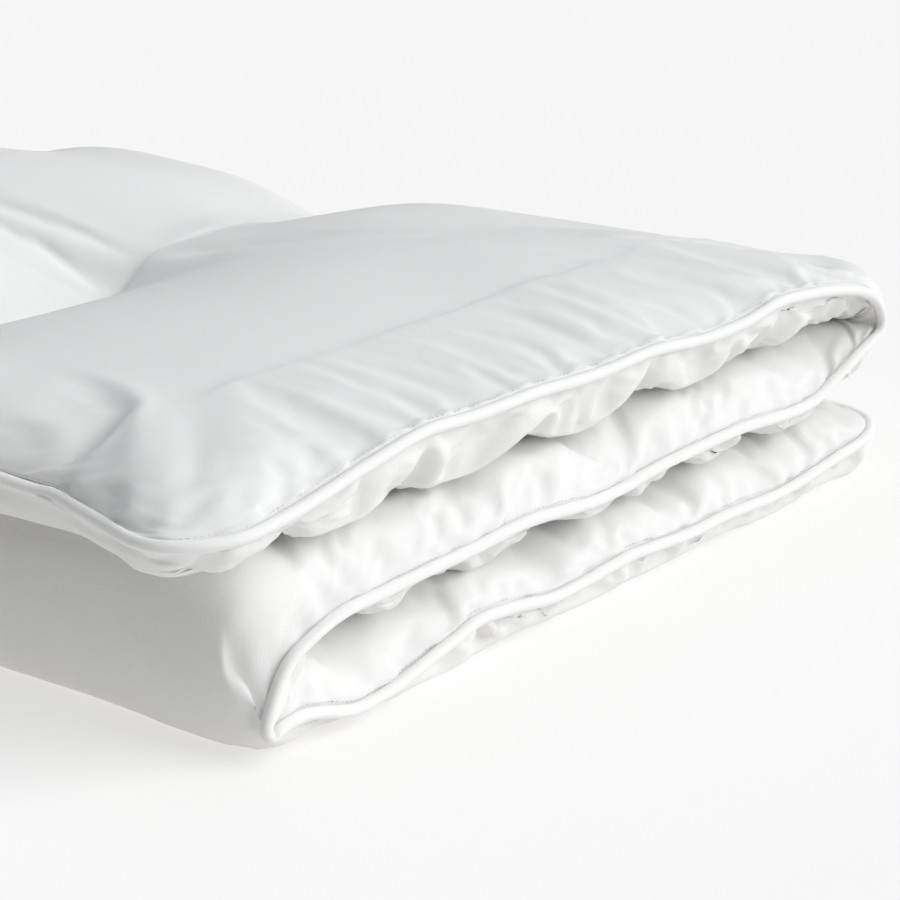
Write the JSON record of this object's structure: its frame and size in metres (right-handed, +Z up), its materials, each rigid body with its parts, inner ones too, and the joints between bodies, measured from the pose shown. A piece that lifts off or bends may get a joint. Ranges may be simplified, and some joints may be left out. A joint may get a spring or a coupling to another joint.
{
  "type": "folded duvet",
  "caption": "Padded single duvet with a piped white cotton casing and lengthwise channels, folded in thirds as a Z; its folds open out flat.",
  "frame": {"origin": "on the floor, under the middle of the folded stack", "axes": "+X from the left fold to the right fold, +Y along the folds, +Z up"},
  "size_m": [0.7118, 1.3336, 0.1632],
  "materials": {
    "casing_cotton": "fine plain-weave white cotton, matt, puckered along its seams",
    "piping_cotton": "bias-cut white cotton strip, matt, drawn tight over its cord",
    "piping_cord": "unbleached twisted cotton cord",
    "hollow_fibre_wadding": "soft white lofted fibre",
    "quilting_thread": "white polyester sewing thread"
  },
  "bodies": {
    "bottom_leaf": {"bottom_upper_panel": "casing_cotton", "bottom_lower_panel": "casing_cotton", "bottom_wadding_1": "hollow_fibre_wadding", "bottom_wadding_2": "hollow_fibre_wadding", "bottom_wadding_3": "hollow_fibre_wadding", "bottom_front_quilting_thread": "quilting_thread", "bottom_back_quilting_thread": "quilting_thread", "bottom_piping_cover": "piping_cotton", "bottom_piping_cord": "piping_cord"},
    "left_fold": {"left_fold_outer_panel": "casing_cotton", "left_fold_inner_panel": "casing_cotton", "left_fold_wadding_1": "hollow_fibre_wadding", "left_fold_wadding_2": "hollow_fibre_wadding", "left_fold_wadding_3": "hollow_fibre_wadding", "left_fold_front_piping_cover": "piping_cotton", "left_fold_front_piping_cord": "piping_cord", "left_fold_back_piping_cover": "piping_cotton", "left_fold_back_piping_cord": "piping_cord"},
    "middle_leaf": {"middle_upper_panel": "casing_cotton", "middle_lower_panel": "casing_cotton", "middle_wadding_1": "hollow_fibre_wadding", "middle_wadding_2": "hollow_fibre_wadding", "middle_wadding_3": "hollow_fibre_wadding", "middle_front_quilting_thread": "quilting_thread", "middle_back_quilting_thread": "quilting_thread", "middle_front_piping_cover": "piping_cotton", "middle_front_piping_cord": "piping_cord", "middle_back_piping_cover": "piping_cotton", "middle_back_piping_cord": "piping_cord"},
    "right_fold": {"right_fold_outer_panel": "casing_cotton", "right_fold_inner_panel": "casing_cotton", "right_fold_wadding_1": "hollow_fibre_wadding", "right_fold_wadding_2": "hollow_fibre_wadding", "right_fold_wadding_3": "hollow_fibre_wadding", "right_fold_front_piping_cover": "piping_cotton", "right_fold_front_piping_cord": "piping_cord", "right_fold_back_piping_cover": "piping_cotton", "right_fold_back_piping_cord": "piping_cord"},
    "top_leaf": {"top_upper_panel": "casing_cotton", "top_lower_panel": "casing_cotton", "top_wadding_1": "hollow_fibre_wadding", "top_wadding_2": "hollow_fibre_wadding", "top_wadding_3": "hollow_fibre_wadding", "top_front_quilting_thread": "quilting_thread", "top_back_quilting_thread": "quilting_thread", "top_piping_cover": "piping_cotton", "top_piping_cord": "piping_cord"}
  },
  "joints": [
    {"name": "left_fold_opens", "type": "hinge", "parent": "bottom_leaf", "child": "left_fold", "pos_m": [-0.2871, 0, 0.027], "axis": [0, -1, 0], "range_deg": [0, 90]},
    {"name": "middle_leaf_opens", "type": "hinge", "parent": "left_fold", "child": "middle_leaf", "pos_m": [-0.2871, 0, 0.0816], "axis": [0, -1, 0], "range_deg": [0, 90]},
    {"name": "right_fold_opens", "type": "hinge", "parent": "middle_leaf", "child": "right_fold", "pos_m": [0.3289, 0, 0.0816], "axis": [0, 1, 0], "range_deg": [0, 90]},
    {"name": "top_leaf_opens", "type": "hinge", "parent": "right_fold", "child": "top_leaf", "pos_m": [0.3289, 0, 0.1362], "axis": [0, 1, 0], "range_deg": [0, 90]}
  ],
  "couplings": [
    {"joint": "middle_leaf_opens", "follows": "left_fold_opens", "ratio": 1},
    {"joint": "top_leaf_opens", "follows": "right_fold_opens", "ratio": 1}
  ]
}
